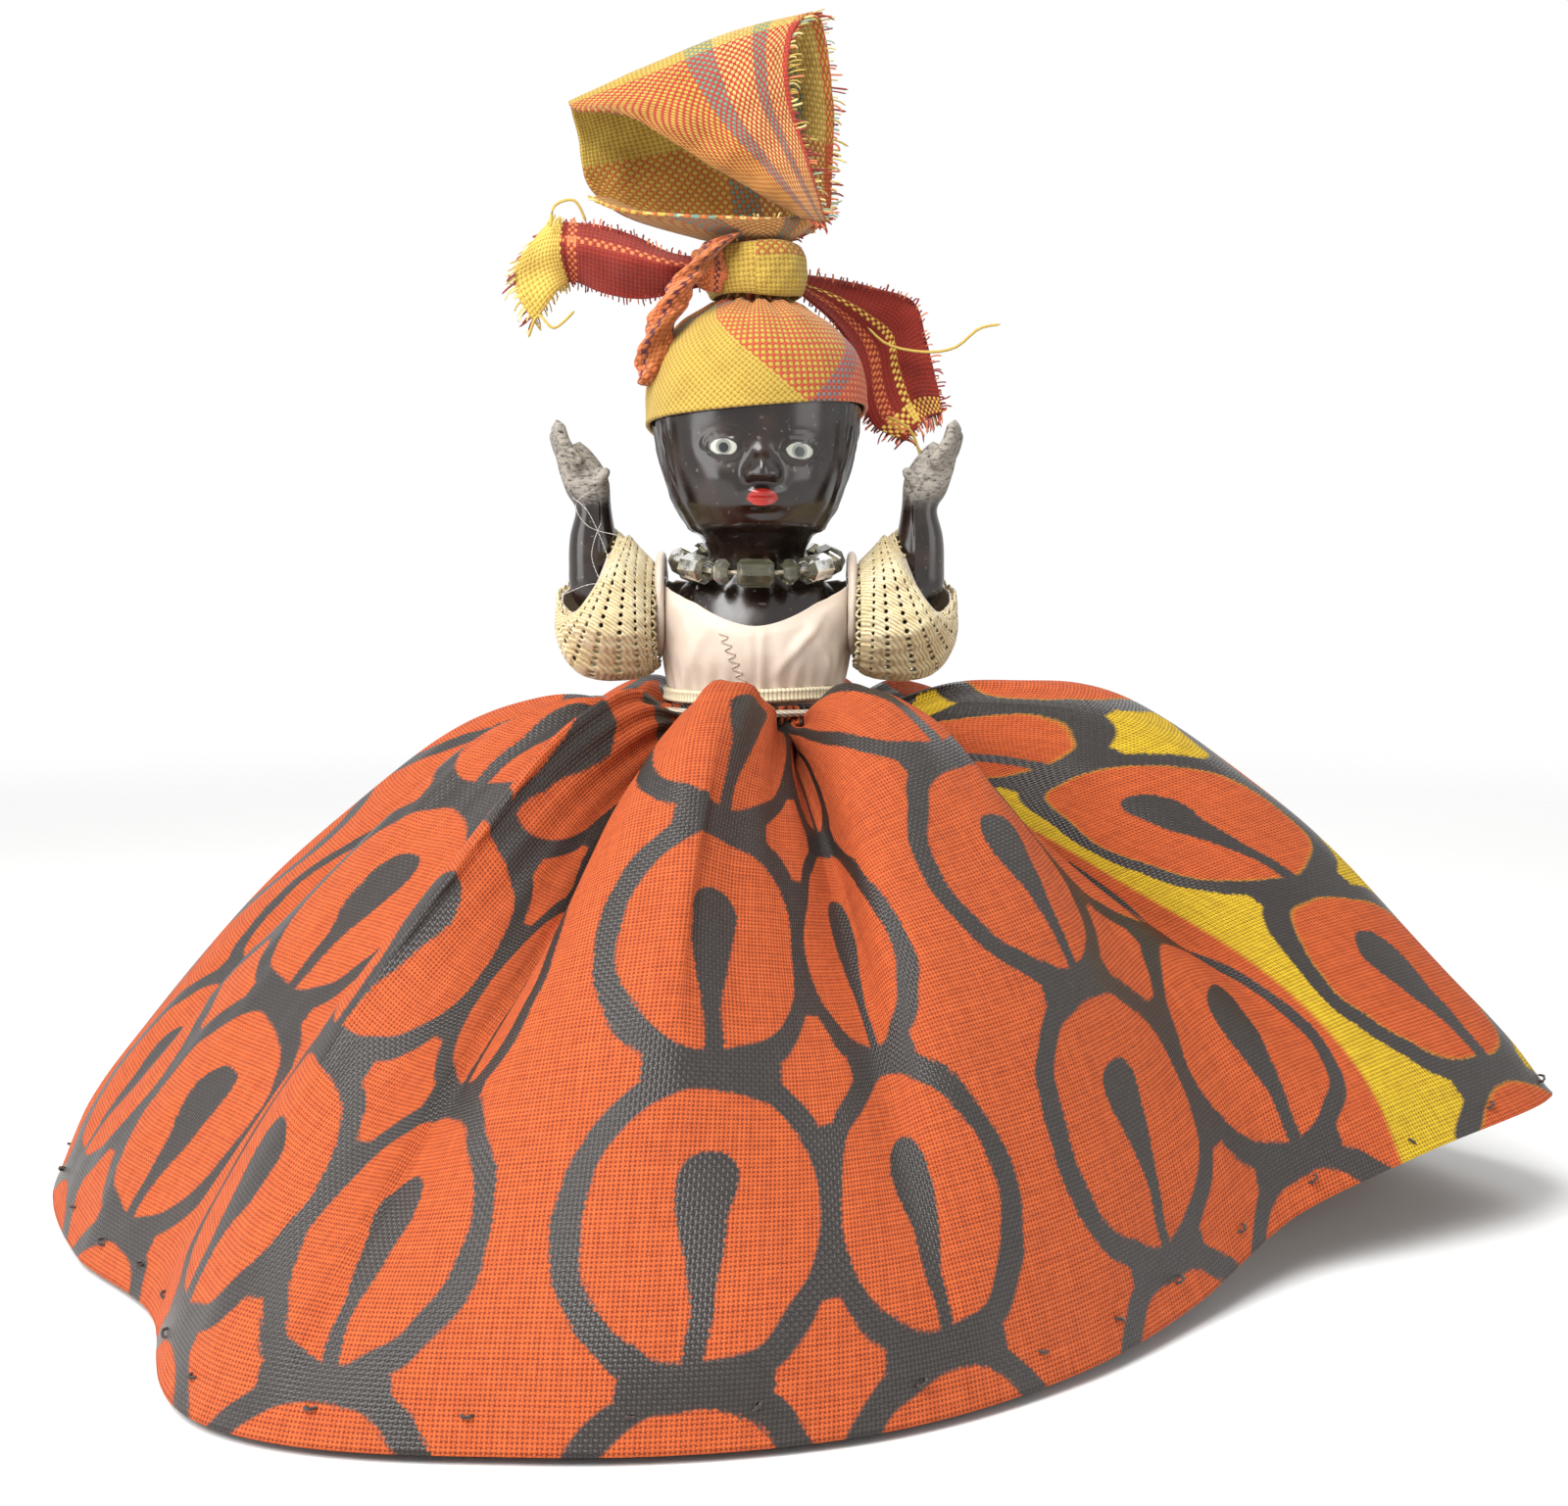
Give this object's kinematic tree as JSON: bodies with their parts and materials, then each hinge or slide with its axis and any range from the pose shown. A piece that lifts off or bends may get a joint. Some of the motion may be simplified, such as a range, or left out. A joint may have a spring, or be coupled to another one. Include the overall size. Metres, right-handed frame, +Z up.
{
  "type": "pincushion doll",
  "caption": "Small dressed doll standing in a stuffed dome pincushion, with a wide gathered print skirt, lace sleeves, a bead necklace and a tied headcloth.",
  "frame": {"origin": "centre of the base card's underside, on the table, under the middle of the doll", "axes": "+Z up; the doll faces -Y; +X to the right of someone who faces the doll, which is the doll's own left"},
  "size_m": [0.1729, 0.1556, 0.1342],
  "materials": {
    "card": "plain grey-brown board",
    "cushion_cloth": "undyed muslin",
    "print_cotton": "plain-weave cotton with a black printed pattern",
    "thread": "twisted cotton thread",
    "plastic": "glossy moulded plastic",
    "elastic": "round elastic",
    "nylon": "fine pale pink nylon",
    "band": "narrow woven elastic",
    "lace": "cream cotton lace",
    "glass_bead": "smoky facetted glass",
    "madras": "yarn-dyed plaid cotton"
  },
  "bodies": {
    "doll": {"base_card": "card", "cushion": "cushion_cloth", "skirt": "print_cotton", "gathering_thread": "thread", "doll_body": "plastic", "arm_elastic": "elastic", "blouse": "nylon", "waist_band": "band", "necklace_thread": "thread", "headcloth": "madras", "head_tie": "madras", "necklace_bead_01": "glass_bead", "necklace_bead_02": "glass_bead", "necklace_bead_03": "glass_bead", "necklace_bead_04": "glass_bead", "necklace_bead_05": "glass_bead", "necklace_bead_06": "glass_bead", "necklace_bead_07": "glass_bead", "necklace_bead_08": "glass_bead", "necklace_bead_09": "glass_bead", "necklace_bead_10": "glass_bead", "necklace_bead_11": "glass_bead", "necklace_bead_12": "glass_bead", "necklace_bead_13": "glass_bead", "necklace_bead_14": "glass_bead"},
    "left_arm": {"left_arm": "plastic", "left_sleeve": "lace"},
    "right_arm": {"right_arm": "plastic", "right_sleeve": "lace"}
  },
  "joints": [
    {"name": "left_shoulder", "type": "hinge", "parent": "doll", "child": "left_arm", "pos_m": [0.0101, 0, 0.0689], "axis": [1, 0, 0], "range_deg": [-10, 60]},
    {"name": "right_shoulder", "type": "hinge", "parent": "doll", "child": "right_arm", "pos_m": [-0.0101, 0, 0.0689], "axis": [1, 0, 0], "range_deg": [-10, 60]}
  ]
}
